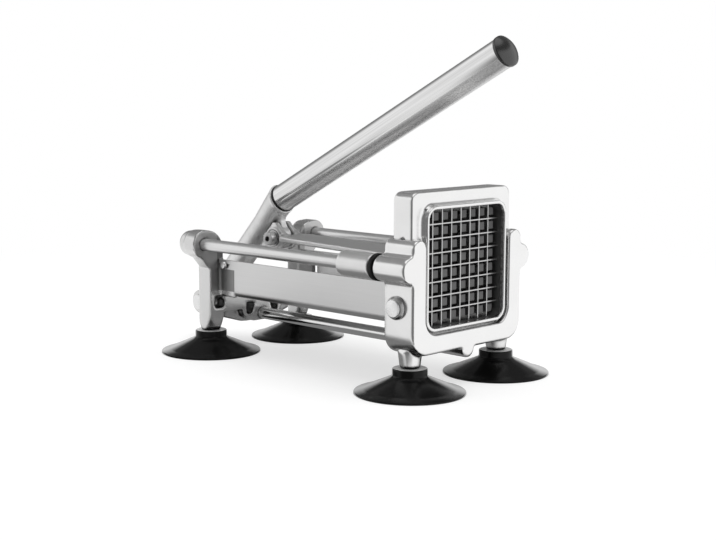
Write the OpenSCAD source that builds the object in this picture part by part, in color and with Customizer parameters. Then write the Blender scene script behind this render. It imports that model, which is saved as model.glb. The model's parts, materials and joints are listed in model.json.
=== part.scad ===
// Lever-operated french fry cutter: a cast U frame holds a blade grid, a lever and link push
// a finger block through it along two guide rods, and four rubber cups hold it to the table.
// X runs across the machine, Y from the blades to the lever, Z up. The table is Z = 0.

/* [Cutting grid] */
// Clear width and height of the cutting window
window = 77.6; // [72:0.2:84]
// Cells along each side of the grid
cells = 8; // [4:1:9]
// Margin between the outer cells and the window
grid_margin = 0.7; // [0.4:0.1:1.2]
// Height of the window's centre above the table
grid_z = 80.9; // [78:0.1:84]
// Thickness of a blade
blade_t = 0.8; // [0.5:0.1:1.1]
// Depth of a blade along the push
blade_d = 8; // [6:0.5:10]
// Length of a blade held in the wall at each end
blade_seat = 2.6; // [1.5:0.1:4]
// Clearance of a blade in its slot
blade_gap = 0.05; // [0.03:0.01:0.12]
// Distance of the blades behind the face of the blade frame
blade_back = 1.7; // [1:0.1:2.5]
// Depth of the ground edge of a blade
blade_grind = 1.5; // [0.8:0.1:2.5]

/* [Blade frame] */
// Wall of the blade frame around the window
block_wall = 11.7; // [10:0.1:14]
// Thickness of the blade frame
block_d = 16.8; // [14:0.2:20]
// Corner radius of the blade frame
block_r = 6; // [3:0.5:9]
// Corner radius of the window
window_r = 7; // [4:0.5:10]
// Width of the raised rim around the window
rim_wall = 2.4; // [1.8:0.1:3]
// Height of the raised rim
rim_h = 5; // [3:0.25:6]
// Radius of the cove at the foot of the rim
cove = 3; // [2:0.2:4]
// Gap between the rim and the front frame
rim_gap = 1.8; // [1:0.1:2.5]

/* [Front frame] */
// Thickness of the lip in front of the blade frame
lip = 6.4; // [5.2:0.1:8]
// Thickness of the lip behind the blade frame
back_lip = 2.8; // [2:0.1:4]
// Side wall beside the blade frame
side_wall = 5.1; // [4.5:0.1:7]
// Wall under the blade frame
floor_wall = 4.8; // [3.5:0.1:7]
// Clearance of the blade frame in its channel
block_gap = 0.2; // [0.1:0.05:0.4]
// Height of the horns above the table
horn_top = 101.5; // [99:0.5:106]
// Radius of the lower corners
frame_r = 14; // [10:0.5:18]

/* [Rods] */
// Diameter of the guide rods
rod_d = 9; // [8:0.25:10]
// Height of the guide rods above the table
rod_z = 82.3; // [80:0.1:85]
// Distance of a guide rod outside the frame's wall
rod_out = 1; // [0:0.25:2]
// Radius of the fillets between a rod boss and the frame
boss_fillet = 3.5; // [2.5:0.25:4]
// Outer diameter of the rod bosses
boss_d = 17.2; // [15:0.2:19]
// Depth of a guide rod in its front boss
rod_seat = 20; // [14:1:24]
// Diameter of the tie rod
tie_d = 9; // [8:0.25:10]
// Height of the tie rod above the table
tie_z = 24.8; // [24:0.1:26]
// Thickness of the rubber bumpers
bumper_t = 3.8; // [2.5:0.1:5]
// Radial clearance of a pin or sleeve that moves
running = 0.05; // [0.02:0.01:0.09]

/* [Feet] */
// Distance of a foot from the centre line
foot_x = 45; // [42:0.5:47]
// Diameter of a suction cup
cup_d = 74; // [66:0.2:78]
// Height of a suction cup with its collar
cup_h = 16.6; // [14:0.2:18]
// Diameter of the cup's collar
collar_d = 23.5; // [20:0.5:26]
// Thickness of the rubber
cup_wall = 2.6; // [2:0.1:3.4]
// Diameter of a foot stud
stud_d = 6; // [5:0.5:8]

/* [Rear frame] */
// Distance from the front face to the rear frame
rear_y = 205; // [198:1:212]
// Thickness of the rear posts
post_d = 14; // [12:0.5:16]
// Width of a rear post
post_w = 13; // [11:0.5:15]
// Height of the underside of the crossbar
bar_z = 29.7; // [28:0.1:31]
// Height of the crossbar
bar_h = 15.8; // [12:0.2:17]
// Half width of the lever's clevis
clevis_x = 15; // [14:0.5:17]
// Radius of the clevis round its pin
clevis_r = 9.2; // [8.6:0.2:9.8]

/* [Trough] */
// Outer width of the trough
trough_w = 86.4; // [84:0.2:88]
// Sheet thickness of the trough
sheet = 0.9; // [0.7:0.1:1.2]
// Height of the trough's rim above the table
trough_top = 70.4; // [66:0.2:71]
// Height of the folded rim
hem = 2.6; // [2:0.1:4]

/* [Pusher] */
// Gap between a finger and a blade
finger_gap = 1.3; // [0.8:0.05:1.8]
// Distance of the finger tips behind the blades' front edges
finger_back = 0.5; // [0.3:0.1:1.5]
// Length of the fingers
finger_l = 12; // [11:0.5:14]
// Thickness of the finger block's plate
pusher_t = 6; // [5:0.5:8]
// Thickness of the carriage plate
plate_t = 5; // [4.5:0.5:7]
// Length of a guide sleeve
sleeve_l = 30; // [24:1:36]

/* [Lever] */
// Distance of the lever's pivot behind the rear frame's front face
pivot_back = 58; // [54:0.5:62]
// Height of the lever's pivot above the table
pivot_z = 28.5; // [28:0.1:30]
// Diameter of the lever's pivot pin
pivot_d = 8; // [7:0.5:9]
// Distance of the link bolt in front of the lever's pivot
bolt_fwd = 80; // [79:0.5:82]
// Height of the link bolt above the table
bolt_z = 85; // [84:0.1:86]
// Diameter of the link bolt
bolt_d = 6; // [5:0.5:7]
// Distance of the handle's lower end in front of the lever's pivot
handle_fwd = 81; // [80:0.5:82]
// Height of the handle's lower end above the table
handle_z = 114.3; // [113:0.5:117]
// Rise of the handle above the horizontal, in degrees
handle_a = 27; // [24:0.5:30]
// Diameter of the handle tube
tube_d = 20.6; // [19.5:0.1:22]
// Wall of the handle tube
tube_wall = 1.5; // [1:0.1:2]
// Length of the handle tube
tube_l = 231; // [200:1:260]
// Diameter of the lever's round spine
spine_d = 19.2; // [18:0.2:20]
// Thickness of the lever's web
web_t = 6; // [5:0.5:8]

/* [Link] */
// Distance of the carriage pivot behind the carriage plate
link_back = 18.3; // [17:0.1:20]
// Width of the link's plate at the lever
link_w = 31.2; // [30:0.2:33]
// Width of the link's plate at the carriage
link_front_w = 36; // [34:0.5:38]
// Thickness of the link's plate
link_t = 4; // [3:0.25:5]
// Thickness of the link's ears
ear_t = 4; // [3.5:0.25:5]
// Height of the ears' peaks above the bolt
ear_top = 11.9; // [11:0.1:12.5]
// Clearance between the ears and the lever's spine
ear_gap = 1; // [0.6:0.1:1.6]

/* [Lock screws] */
// Height of the lock screws above the table
lock_z = 57; // [52:0.5:62]
// Diameter of a lock screw's shank
lock_d = 6; // [5:0.5:8]
// Diameter of a lock screw's head at the frame
lock_head_d = 15.5; // [14:0.5:18]
// Height of a lock screw's head
lock_head_h = 4.2; // [3:0.2:6]
// Depth of a lock screw's tip in the blade frame
lock_tip = 3; // [2:0.25:4]

/* [Hidden] */
$fn = 64;
hair = 0.01;            // overshoot of a cut past a face
press = 0.02;           // radial clearance of a pressed or screwed part
face_gap = 0.1;         // clearance between faces that only touch
through = 80;           // length of a cut that passes right through

// cutting grid
pitch = (window - 2 * grid_margin) / cells;
finger = pitch - blade_t - 2 * finger_gap;
finger_span = (cells - 1) * pitch + finger;
plate_edge = 0.15;      // how far the finger block's plate stands out round the fingers
blade_l = window + 2 * blade_seat;
block = window + 2 * block_wall;

// front frame
pocket_w = block + 2 * block_gap;
frame_x = pocket_w / 2 + side_wall;
pocket_z = grid_z - block / 2 - block_gap;
frame_z = pocket_z - floor_wall;
channel_d = block_d + 2 * face_gap;
frame_d = lip + channel_d + back_lip;
rim_w = window + 2 * rim_wall;
opening_x = rim_w / 2 + rim_gap;
opening_r = window_r + rim_wall + rim_gap;
block_y = lip + face_gap;
rim_y = block_y - rim_h;
blade_y = block_y + blade_back;
horn_r = (frame_x - opening_x) / 2;
horn_x = opening_x + horn_r;
boss_y = frame_d + 2;   // the front bosses end a little behind the frame

// rods and base
rod_x = frame_x + rod_out;
bumper_y = boss_y + face_gap;
tie_r = 6.2;            // radius of the tie rod's front boss
foot_front_y = frame_d / 2 - 0.6;
foot_rear_y = rear_y + post_d / 2 + 1;
foot_top_r = 8.2;
foot_end_r = 6.8;
foot_end_z = cup_h + face_gap;
stud_up = 8;            // length of a stud in the leg
post_x = foot_x + 0.5;
post_in = post_x - post_w / 2;
post_out = post_x + post_w / 2;
leg_h = 11;             // height of the taper at the foot of a rear post
leg_flare = 4;          // growth of its radius over that height
post_z = foot_end_z + leg_h + 1;
head_r = boss_d / 2 + 1.8;      // the rear frame round a guide rod
head_corner = 15;
rear_boss_r = boss_d / 2 + 0.8;
bar_d = post_d - 2;
hub_z = tie_z - 6.3;    // underside of the block that holds the tie rod and the clevis
hub_wing = 33;          // half width of the web beside that block
hub_top = pivot_z + 8;
hub_y = rear_y + 8;
hub_back = rear_y + 27;
rod_back = 14;          // depth of a guide rod in its rear boss
rear_boss_l = 20;
tie_back = 14;          // depth of the tie rod in the rear frame

// trough
trough_floor = grid_z - finger_span / 2 - plate_edge - 0.3 - sheet;
trough_back_y = rear_y - 17;
tongue_h = 7;
cheek_x = trough_w / 2 - sheet - face_gap;
cheek_t = 3.6;
trough_screw_y = rear_y - 7;
trough_screw_z = trough_top - tongue_h / 2 - 0.4;

// pusher
tip_y = blade_y + finger_back;
pusher_y = tip_y + finger_l;
plate_y = pusher_y + pusher_t + 0.02;
plate_back = plate_y + plate_t;
sleeve_y = bumper_y + bumper_t + 0.3;
arm_h = 13;             // height of the carriage's arms
arm_back = sleeve_y + 9;
arm_x = rod_x - boss_d / 2 - 1.5;
lug_rise = 13;          // half height of a carriage lug at the plate
rib_t = 3.5;            // ribs on the back of the carriage plate
rib_edge = 5.6;
pusher_hole = 24;       // half spacing of the pusher screws

// lever and link, in the plane X = 0, as [Y, Z]
pivot = [rear_y + pivot_back, pivot_z];
bolt = [pivot[0] - bolt_fwd, bolt_z];
shoulder = [pivot[0] - handle_fwd, handle_z];
carriage_pin = [plate_back + link_back, rod_z];
link_l = norm(bolt - carriage_pin);
link_tilt = atan2(bolt[1] - carriage_pin[1], bolt[0] - carriage_pin[0]);
spine_a = atan2(shoulder[1] - pivot[1], pivot[0] - shoulder[0]);
spine_l = norm(shoulder - pivot);
bolt_off = abs((bolt[0] - pivot[0]) * sin(spine_a) + (bolt[1] - pivot[1]) * cos(spine_a));
flare_l = 26;           // length over which the spine grows into the shoulder
eye_r = 10.2;
lug_r = 8.5;
lug_x = web_t / 2 + 0.5;        // half width of the lever at the link bolt
eye_x = 10.3;           // half width of the lever at its pivot
ear_x = lug_x + 0.3;    // inner face of a link ear
ear_r = bolt_off - sqrt(pow(spine_d / 2, 2) - pow(ear_x, 2)) - ear_gap;
ear_rim = 1.2;
nose_r = 7.5;
nose_x = link_front_w / 2;
link_up = 3;            // top of the link's plate above the line through its pivots
link_slot = lug_r + 1.2;
washer_r = 6;
washer_t = 1;
bolt_seat = ear_x + ear_t + washer_t + face_gap;
bolt_head_r = 4.9;
bolt_head_h = 6;
nut_t = 5;
carriage_lug_x = nose_x + 0.4;
carriage_lug_t = 5;
shoulder_r = tube_d / 2 + 1.4;
shoulder_l = 1.8;
ring_t = 1.8;
spigot_l = 34;
cap_plug = 14;
cap_skirt = 2.2;
cap_dome = 4.2;
cap_r = tube_d / 2 + 0.5;
cap_curve = bend([cap_r, cap_skirt], [cap_r - 0.6, cap_skirt + cap_dome], [0, cap_skirt + cap_dome]);

// The origin is under the middle of the whole machine, halfway from the handle's end to the clevis.
cap_reach = max([for (p = cap_curve) p[1] * cos(handle_a) + p[0] * sin(handle_a)]);
handle_end = shoulder[0] - (ring_t + tube_l + face_gap / 2) * cos(handle_a) - cap_reach;
mid_y = (pivot[0] + eye_r + handle_end) / 2;

// ---- placing ----

module place() { translate([0, -mid_y, 0]) children(); }

module both_sides() { children(); mirror([1, 0, 0]) children(); }

// An outline in X and Z, extruded along Y.
module along_y(y, l) { translate([0, y + l, 0]) rotate([90, 0, 0]) linear_extrude(l) children(); }

// An outline in Y and Z, extruded along X.
module along_x(x, l) { translate([x, 0, 0]) rotate([90, 0, 90]) linear_extrude(l) children(); }

module rod_along_y(r, y, l, x, z) { translate([x, y, z]) rotate([-90, 0, 0]) cylinder(h = l, r = r); }

// A cylinder along X through the point p = [Y, Z].
module rod_along_x(r, x, l, p) { translate([x, p[0], p[1]]) rotate([0, 90, 0]) cylinder(h = l, r = r); }

// Local Z points up the handle from the lever's shoulder.
module on_handle(s = 0) {
    translate([0, shoulder[0], shoulder[1]]) rotate([90 - handle_a, 0, 0]) translate([0, 0, s]) children();
}

// Local -Y points from the link bolt to the carriage pivot.
module on_link() { translate([0, bolt[0], bolt[1]]) rotate([link_tilt, 0, 0]) children(); }

// ---- outlines ----

function on_circle(c, r, a) = c + r * [cos(a), sin(a)];

function arc(c, r, a0, a1, n = 12) = [for (i = [0:n]) on_circle(c, r, a0 + (a1 - a0) * i / n)];

// Points of a quadratic curve from a to c, drawn towards b.
function bend(a, b, c, n = 12) =
    [for (i = [0:n]) let (t = i / n) (1 - t) * (1 - t) * a + 2 * t * (1 - t) * b + t * t * c];

// A rectangle with round corners about the point [0, z].
module rounded_rect(w, h, r, z = 0) {
    translate([0, z]) {
        square([w - 2 * r, h], center = true);
        square([w, h - 2 * r], center = true);
        for (x = [-1, 1], y = [-1, 1]) translate([x * (w / 2 - r), y * (h / 2 - r)]) circle(r);
    }
}

// A hex prism along X.
module hex_along_x(across, x, l, p) {
    translate([x, p[0], p[1]]) rotate([0, 90, 0]) cylinder(h = l, d = across / cos(30), $fn = 6);
}

// ---- front frame and blades ----

// The U of the front frame with its horns, seen from the front.
module front_outline() {
    side_top = rod_z + boss_d / 2;
    difference() {
        union() {
            difference() {
                rounded_rect(2 * frame_x, 2 * (side_top - frame_z), frame_r, side_top);
                translate([-frame_x, side_top]) square([2 * frame_x, 2 * side_top]);
            }
            both_sides() {
                translate([0, side_top - 1]) square([frame_x, horn_top - horn_r - side_top + 1]);
                translate([horn_x, horn_top - horn_r]) circle(horn_r);
                boss_fillets();
            }
            translate([0, tie_z]) circle(tie_r);
            translate([-tie_r, tie_z]) square([2 * tie_r, frame_z + 4 - tie_z]);
        }
        front_window();
    }
}

// The opening between the horns, which has no top.
module front_window() {
    rounded_rect(2 * opening_x, 2 * (horn_top - grid_z + opening_x), opening_r, horn_top);
}

// Fillets between a rod boss and the frame's side, above and below it.
module boss_fillets() {
    r = boss_fillet;
    rise = sqrt(pow(boss_d / 2 + r, 2) - pow(r - rod_out, 2)) - 0.15;
    for (side = [0, 1]) translate([frame_x, rod_z]) mirror([0, side]) difference() {
        polygon([[-1, -1], [rod_out, -1], [r, rise], [-1, rise]]);
        translate([r - 0.15, rise]) circle(r);
    }
}

module front_frame() {
    color("gainsboro") place() difference() {
        union() {
            along_y(0, frame_d) front_outline();
            both_sides() {
                rod_along_y(boss_d / 2, 0, boss_y, rod_x, rod_z);
                translate([foot_x, foot_front_y, foot_end_z])
                    cylinder(h = frame_z + 3 - foot_end_z, r1 = foot_end_r, r2 = foot_top_r);
            }
        }
        translate([-pocket_w / 2, lip, pocket_z]) cube([pocket_w, channel_d, horn_top]);
        both_sides() {
            rod_along_y(rod_d / 2 + press, boss_y - rod_seat, rod_seat + hair, rod_x, rod_z);
            rod_along_x(lock_d / 2 + press, horn_x, side_wall + horn_x, [block_y + block_d / 2, lock_z]);
            translate([foot_x, foot_front_y, 0]) cylinder(h = foot_end_z + stud_up, d = stud_d + 2 * press);
        }
        rod_along_y(tie_d / 2 + press, frame_d - rod_seat, rod_seat + hair, 0, tie_z);
    }
}

module blade_frame() {
    color("gainsboro") place() difference() {
        union() {
            along_y(block_y, block_d) rounded_rect(block, block, block_r, grid_z);
            along_y(rim_y, rim_h + 1) rounded_rect(rim_w, rim_w, window_r + rim_wall, grid_z);
            rim_cove();
        }
        along_y(rim_y - 1, block_d + rim_h + 2) rounded_rect(window, window, window_r, grid_z);
        blade_slots();
        both_sides() {
            rod_along_x(lock_d / 2 + 0.2, block / 2 - lock_tip - 0.3, 20, [block_y + block_d / 2, lock_z]);
            block_screw_place() cylinder(h = 8, d = 3 + 2 * press);
        }
    }
}

// The cove that the rim grows from, a quarter round in three steps, where the horns leave room for it.
module rim_cove() {
    intersection() {
        for (a = [0, 30, 60]) {
            foot = cove * (1 - cos(a)) - (a == 0 ? 0.3 : 0.06);
            wide = cove_width(a);
            translate([0, block_y - foot, grid_z]) rotate([90, 0, 0])
                linear_extrude(cove * (1 - cos(a + 30)) - foot, scale = cove_width(a + 30) / wide)
                    rounded_rect(wide, wide, window_r + (wide - window) / 2);
        }
        translate([-block, 0, horn_top + 0.6]) cube([2 * block, lip + 2, window]);
    }
}

function cove_width(a) = rim_w + 2 * cove * (1 - sin(a)) + 0.3;

module blade_slots() {
    slot = blade_t + 2 * blade_gap;
    for (i = [1:cells - 1]) translate([0, blade_y, grid_z]) {
        translate([(i - cells / 2) * pitch - slot / 2, 0, -blade_l / 2 - blade_gap])
            cube([slot, block_d, blade_l + 2 * blade_gap]);
        translate([-blade_l / 2 - blade_gap, 0, (i - cells / 2) * pitch - slot / 2])
            cube([blade_l + 2 * blade_gap, block_d, slot]);
    }
}

// A strip in Y and Z, or Y and X, with half-depth notches where the other blades cross it.
// side = 1 notches the rear half, side = 0 the front half.
module blade_outline(side) {
    notch = blade_t + 2 * blade_gap;
    difference() {
        translate([0, -blade_l / 2]) square([blade_d, blade_l]);
        for (i = [1:cells - 1])
            translate([side == 1 ? blade_d / 2 - blade_gap : -1, (i - cells / 2) * pitch - notch / 2])
                square([blade_d / 2 + blade_gap + 1, notch]);
    }
}

// A blade cut across: Y is its depth, ground to an edge at the rear.
module blade_section() {
    side = blade_t / 2 + hair;
    polygon([[-side, -1], [side, -1], [side, blade_d - blade_grind], [0.04, blade_d + hair],
             [-0.04, blade_d + hair], [-side, blade_d - blade_grind]]);
}

module blades_vertical() {
    color("silver") place() for (i = [1:cells - 1])
        translate([(i - cells / 2) * pitch, blade_y, grid_z]) intersection() {
            translate([-blade_t / 2, 0, 0]) rotate([90, 0, 90]) linear_extrude(blade_t) blade_outline(1);
            translate([0, 0, -blade_l]) linear_extrude(2 * blade_l) blade_section();
        }
}

module blades_horizontal() {
    color("silver") place() for (i = [1:cells - 1])
        translate([0, blade_y, grid_z + (i - cells / 2) * pitch]) intersection() {
            translate([0, 0, -blade_t / 2]) linear_extrude(blade_t) mirror([1, -1]) blade_outline(0);
            translate([-blade_l, 0, 0]) rotate([0, 90, 0]) linear_extrude(2 * blade_l) blade_section();
        }
}

// The small screws in the sides of the blade frame.
module block_screw_place() {
    translate([block / 2 + hair, block_y + block_d / 2, grid_z + window / 4]) rotate([0, -90, 0]) children();
}

module blade_frame_screws() {
    color("dimgray") place() both_sides() block_screw_place() translate([0, 0, 0.4]) difference() {
        cylinder(h = 7, d = 3);
        translate([0, 0, -hair]) cylinder(h = 1.4, d = 1.7, $fn = 6);
    }
}

// A button-headed screw that bears in the side of the blade frame.
module lock_screw() {
    y = block_y + block_d / 2;
    head_x = frame_x + face_gap;
    rod_along_x(lock_d / 2, block / 2 - lock_tip, head_x + 1 - block / 2 + lock_tip, [y, lock_z]);
    translate([head_x, y, lock_z]) rotate([0, 90, 0]) difference() {
        rotate_extrude() polygon(concat([[0, 0], [lock_head_d / 2, 0], [lock_head_d / 2, 0.8]],
            arc([lock_head_d / 2 - lock_head_h + 0.8, 0.8], lock_head_h - 0.8, 10, 80, 6),
            [[0, lock_head_h]]));
        translate([0, 0, lock_head_h - 0.4]) cylinder(h = 1, d = 4);
    }
}

module lock_screw_right() { color("lightgray") place() lock_screw(); }

module lock_screw_left() { color("lightgray") place() mirror([1, 0, 0]) lock_screw(); }

// ---- rods, trough and feet ----

module guide_rod() {
    rod_along_y(rod_d / 2, boss_y - rod_seat, rear_y + 1 + rod_back - boss_y + rod_seat, rod_x, rod_z);
}

module guide_rod_right() { color("white") place() guide_rod(); }

module guide_rod_left() { color("white") place() mirror([1, 0, 0]) guide_rod(); }

module tie_rod() {
    color("white") place()
        rod_along_y(tie_d / 2, frame_d - rod_seat, hub_y + tie_back - 2 - frame_d + rod_seat, 0, tie_z);
}

module rod_bumper() {
    translate([rod_x, bumper_y, rod_z]) rotate([-90, 0, 0]) difference() {
        cylinder(h = bumper_t, d = boss_d + 1);
        translate([0, 0, -1]) cylinder(h = bumper_t + 2, d = rod_d + 0.2);
    }
}

module rod_bumper_right() { color("black") place() rod_bumper(); }

module rod_bumper_left() { color("black") place() mirror([1, 0, 0]) rod_bumper(); }

// The trough's section: a U of sheet with round lower corners and a folded rim.
module trough_section() {
    r = 5;
    h = trough_top - trough_floor;
    difference() {
        union() {
            rounded_rect(trough_w, 2 * h, r, trough_top);
            translate([-trough_w / 2 - sheet, trough_top - hem]) square([trough_w + 2 * sheet, hem]);
        }
        rounded_rect(trough_w - 2 * sheet, 2 * h - 2 * sheet, r - sheet, trough_top);
        translate([-trough_w, trough_top]) square([2 * trough_w, 2 * h]);
    }
}

module trough() {
    color("lightgray") place() difference() {
        along_y(frame_d + face_gap, rear_y - 1 - frame_d) trough_section();
        // the sheet ends short of the rear frame, with a tongue at each rim
        translate([-trough_w, trough_back_y, 0]) cube([2 * trough_w, rear_y, trough_top - tongue_h]);
        both_sides() rod_along_x(1.5 + press, cheek_x - 1, through, [trough_screw_y, trough_screw_z]);
    }
}

module trough_screws() {
    color("silver") place() both_sides() {
        head_x = trough_w / 2 + sheet + face_gap / 2;
        rod_along_x(1.5, cheek_x - 3, head_x + 0.5 - cheek_x + 3, [trough_screw_y, trough_screw_z]);
        translate([head_x, trough_screw_y, trough_screw_z]) rotate([0, 90, 0])
            rotate_extrude() polygon(concat([[0, 0]], arc([0, 0], 2.8, 0, 40, 4), [[0, 1.8]]));
    }
}

// Rubber suction cup with a hollow underside and a collar round its stud.
module suction_cup(x, y) {
    rim = cup_d / 2;
    neck = collar_d / 2;
    color([0.1, 0.1, 0.1]) place() translate([x, y, 0]) rotate_extrude($fn = 96) difference() {
        polygon(concat([[0, 0], [rim - 0.5, 0], [rim, 0.6], [rim - 0.3, 1.3], [rim * 0.84, cup_h * 0.17],
                        [neck, cup_h * 0.68], [neck, cup_h - 1.2]],
            arc([neck - 1.2, cup_h - 1.2], 1.2, 0, 90, 4), [[0, cup_h]]));
        polygon(concat([[0, -1], [rim - 3, -1], [rim - 3, 0]],
            bend([rim - 3, 0], [rim * 0.6, cup_wall * 1.3], [0, cup_wall * 2.2]), [[0, -1]]));
        translate([-1, cup_wall * 2.2 + 1.4]) square([1 + stud_d / 2 + press, cup_h]);
    }
}

module cup_front_left() { suction_cup(-foot_x, foot_front_y); }

module cup_front_right() { suction_cup(foot_x, foot_front_y); }

module cup_rear_left() { suction_cup(-foot_x, foot_rear_y); }

module cup_rear_right() { suction_cup(foot_x, foot_rear_y); }

module cup_studs() {
    z = cup_wall * 2.2 + 1.5;
    color("silver") place() both_sides() for (y = [foot_front_y, foot_rear_y])
        translate([foot_x, y, z]) cylinder(h = foot_end_z + stud_up - 0.5 - z, d = stud_d);
}

// ---- rear frame ----

// A rod boss with a round rear end.
module rear_boss() {
    r = rear_boss_r;
    edge = 5;
    translate([rod_x, rear_y + 1, rod_z]) rotate([-90, 0, 0]) rotate_extrude()
        polygon(concat([[0, 0], [r - 0.8, 0], [r, 0.8]], arc([r - edge, rear_boss_l - edge], edge, 0, 90, 6),
                       [[0, rear_boss_l]]));
}

// One half of the rear frame seen from behind: head, post and crossbar.
module rear_outline() {
    top = rod_z + head_r - 0.2;
    translate([rod_x, rod_z]) circle(head_r);
    polygon(concat([[rod_x, top], [rod_x + 4, rod_z - head_r + 2], [post_out, rod_z - 1.8 * head_r],
                    [post_out, post_z], [post_in, post_z]],
        arc([post_in + head_corner, top - head_corner], head_corner, 180, 90, 10)));
    translate([0, bar_z]) square([post_x, bar_h]);
    // the plate round the end of the tie rod
    polygon([[0, hub_z + 1], [clevis_x - 6, hub_z + 1], [clevis_x + 4, tie_z], [clevis_x + 6, bar_z + 1],
             [0, bar_z + 1]]);
}

// The pockets in the front of the crossbar, beside the post and beside the tie rod.
module rear_pockets() {
    low = bar_z + 3.8;
    high = bar_z + bar_h - 2.2;
    polygon([[post_in - 1.1, low + 1], [post_in + 1, low], [post_x + 1, low], [post_out - 4.2, low + 2],
             [post_out - 4.5, high - 1.6], [post_out - 7.5, high], [post_in - 1.1, high - 4.6]]);
    polygon([[tie_d / 2 + 3, bar_z + 4.1], [tie_d / 2 + 8, bar_z + 5], [tie_d / 2 + 12.2, bar_z + 4.6],
             [tie_d / 2 + 11.2, tie_z + 1], [tie_d / 2 + 6, tie_z + 0.4]]);
}

// A square post that narrows to a round foot.
module rear_post() {
    z = foot_end_z + leg_h - 0.1;
    translate([post_in, rear_y, z]) cube([post_w, post_d, rod_z - 6 - z]);
    intersection() {
        translate([post_in, rear_y, foot_end_z]) cube([post_w, post_d, leg_h]);
        translate([foot_x, foot_rear_y, foot_end_z - hair])
            cylinder(h = leg_h + 1, r1 = foot_end_r, r2 = foot_end_r + leg_flare);
    }
}

module rear_frame() {
    color("gainsboro") place() difference() {
        union() {
            both_sides() {
                along_y(rear_y, bar_d) rear_outline();
                rear_post();
                rear_boss();
                trough_cheek();
                clevis_ear();
                // the web under the crossbar
                along_y(rear_y + 6, bar_d - 6.5)
                    polygon([[0, hub_z + 0.5], [clevis_x, hub_z + 0.5], [hub_wing, tie_z - 0.5],
                             [hub_wing, bar_z + 2], [0, bar_z + 2]]);
            }
            along_y(hub_y, hub_back - hub_y)
                rounded_rect(2 * clevis_x, hub_top - hub_z, 5, (hub_top + hub_z) / 2);
        }
        both_sides() {
            rod_along_y(rod_d / 2 + press, rear_y - 1, rod_back + 2.2, rod_x, rod_z);
            translate([foot_x, foot_rear_y, 0]) cylinder(h = foot_end_z + stud_up, d = stud_d + 2 * press);
            along_y(rear_y - 1, bar_d - 2) rear_pockets();
            rod_along_x(1.5 + press, cheek_x - cheek_t - 1, 10, [trough_screw_y, trough_screw_z]);
        }
        rod_along_y(tie_d / 2 + press, rear_y - 1, hub_y + tie_back - rear_y, 0, tie_z);
        rod_along_x(pivot_d / 2 + press, -through / 2, through, pivot);
    }
}

// Plate inside the trough's wall that its tongue is screwed to.
module trough_cheek() {
    z = bar_z + bar_h - 3;
    translate([cheek_x - cheek_t, rear_y - 16, z]) cube([cheek_t, 17, trough_top - 0.8 - z]);
}

// One ear of the clevis that carries the lever.
module clevis_ear() {
    t = clevis_x - eye_x - 0.3;
    y = rear_y + bar_d - 1;
    bar_top = bar_z + bar_h - 2;
    along_x(clevis_x - t, t) {
        translate(pivot) circle(clevis_r);
        polygon([[y, bar_z], [y, bar_top], [y + 5, bar_top], pivot + [0, clevis_r - 0.5],
                 pivot - [0, clevis_r - 0.5], [hub_back - 3, hub_z + 4]]);
    }
}

module lever_pivot_pin() {
    color("silver") place() {
        rod_along_x(pivot_d / 2, -clevis_x - 1, 2 * clevis_x + 4, pivot);
        rod_along_x(pivot_d / 2 + 1.6, -clevis_x - 2, 2 - face_gap, pivot);
        rod_along_x(pivot_d / 2 + 1.6, clevis_x + face_gap, 1.6, pivot);
    }
}

// ---- pusher ----

module pusher_block() {
    corner = max(2, window_r - (window - finger_span) / 2);
    color([0.2, 0.2, 0.2]) place() difference() {
        union() {
            along_y(pusher_y, pusher_t)
                rounded_rect(finger_span + 2 * plate_edge, finger_span + 2 * plate_edge, corner, grid_z);
            along_y(tip_y, finger_l + 1) intersection() {
                for (i = [0:cells - 1], k = [0:cells - 1])
                    translate([(i + 0.5 - cells / 2) * pitch, grid_z + (k + 0.5 - cells / 2) * pitch])
                        square(finger, center = true);
                rounded_rect(finger_span + 2, finger_span + 2, corner + 2, grid_z);
            }
        }
        pusher_holes(pusher_y + 1.5, pusher_t, 2 + press);
    }
}

module pusher_holes(y, l, r) {
    for (x = [-1, 1], z = [-1, 1]) rod_along_y(r, y, l, x * pusher_hole, grid_z + z * pusher_hole);
}

// The casting that carries the finger block: plate, arms, guide sleeves and the lugs for the link.
module pusher_carriage() {
    w = finger_span;
    color("gainsboro") place() difference() {
        union() {
            along_y(plate_y, plate_t) rounded_rect(w, w, 6, grid_z);
            both_sides() {
                carriage_arm(w / 2 - 6);
                guide_sleeve();
                along_x(carriage_lug_x, carriage_lug_t) carriage_lug_outline();
            }
            // ribs across the back of the plate, outside the screws
            for (side = [-1, 1])
                translate([0, plate_y + plate_t / 2 + 1.5, grid_z + side * (w / 2 - rib_edge)])
                    cube([w - 12, plate_t + 3, rib_t], center = true);
        }
        both_sides() {
            rod_along_y(rod_d / 2 + running, sleeve_y - 1, sleeve_l + 2, rod_x, rod_z);
            rod_along_x(pivot_d / 2 + press, carriage_lug_x - 1, carriage_lug_t + 2, carriage_pin);
        }
        pusher_holes(plate_y - 1, plate_t + 5, 2.2);
    }
}

// An arm from the plate, past the rod's bumper, to the guide sleeve.
module carriage_arm(x) {
    front = frame_d + 1.5;
    z = rod_z - arm_h / 2;
    translate([x, front, z]) cube([arm_x - x, arm_back - front, arm_h]);
    translate([arm_x - 1, sleeve_y + 0.4, z + 0.5])
        cube([rod_x - arm_x - 1, arm_back - sleeve_y - 1, arm_h - 1]);
}

module guide_sleeve() {
    r = boss_d / 2 - 0.1;
    translate([rod_x, sleeve_y, rod_z]) rotate([-90, 0, 0]) rotate_extrude()
        polygon([[0, 0], [r - 0.4, 0], [r, 0.4], [r, sleeve_l - 1.6], [r - 1.6, sleeve_l], [0, sleeve_l]]);
}

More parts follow.
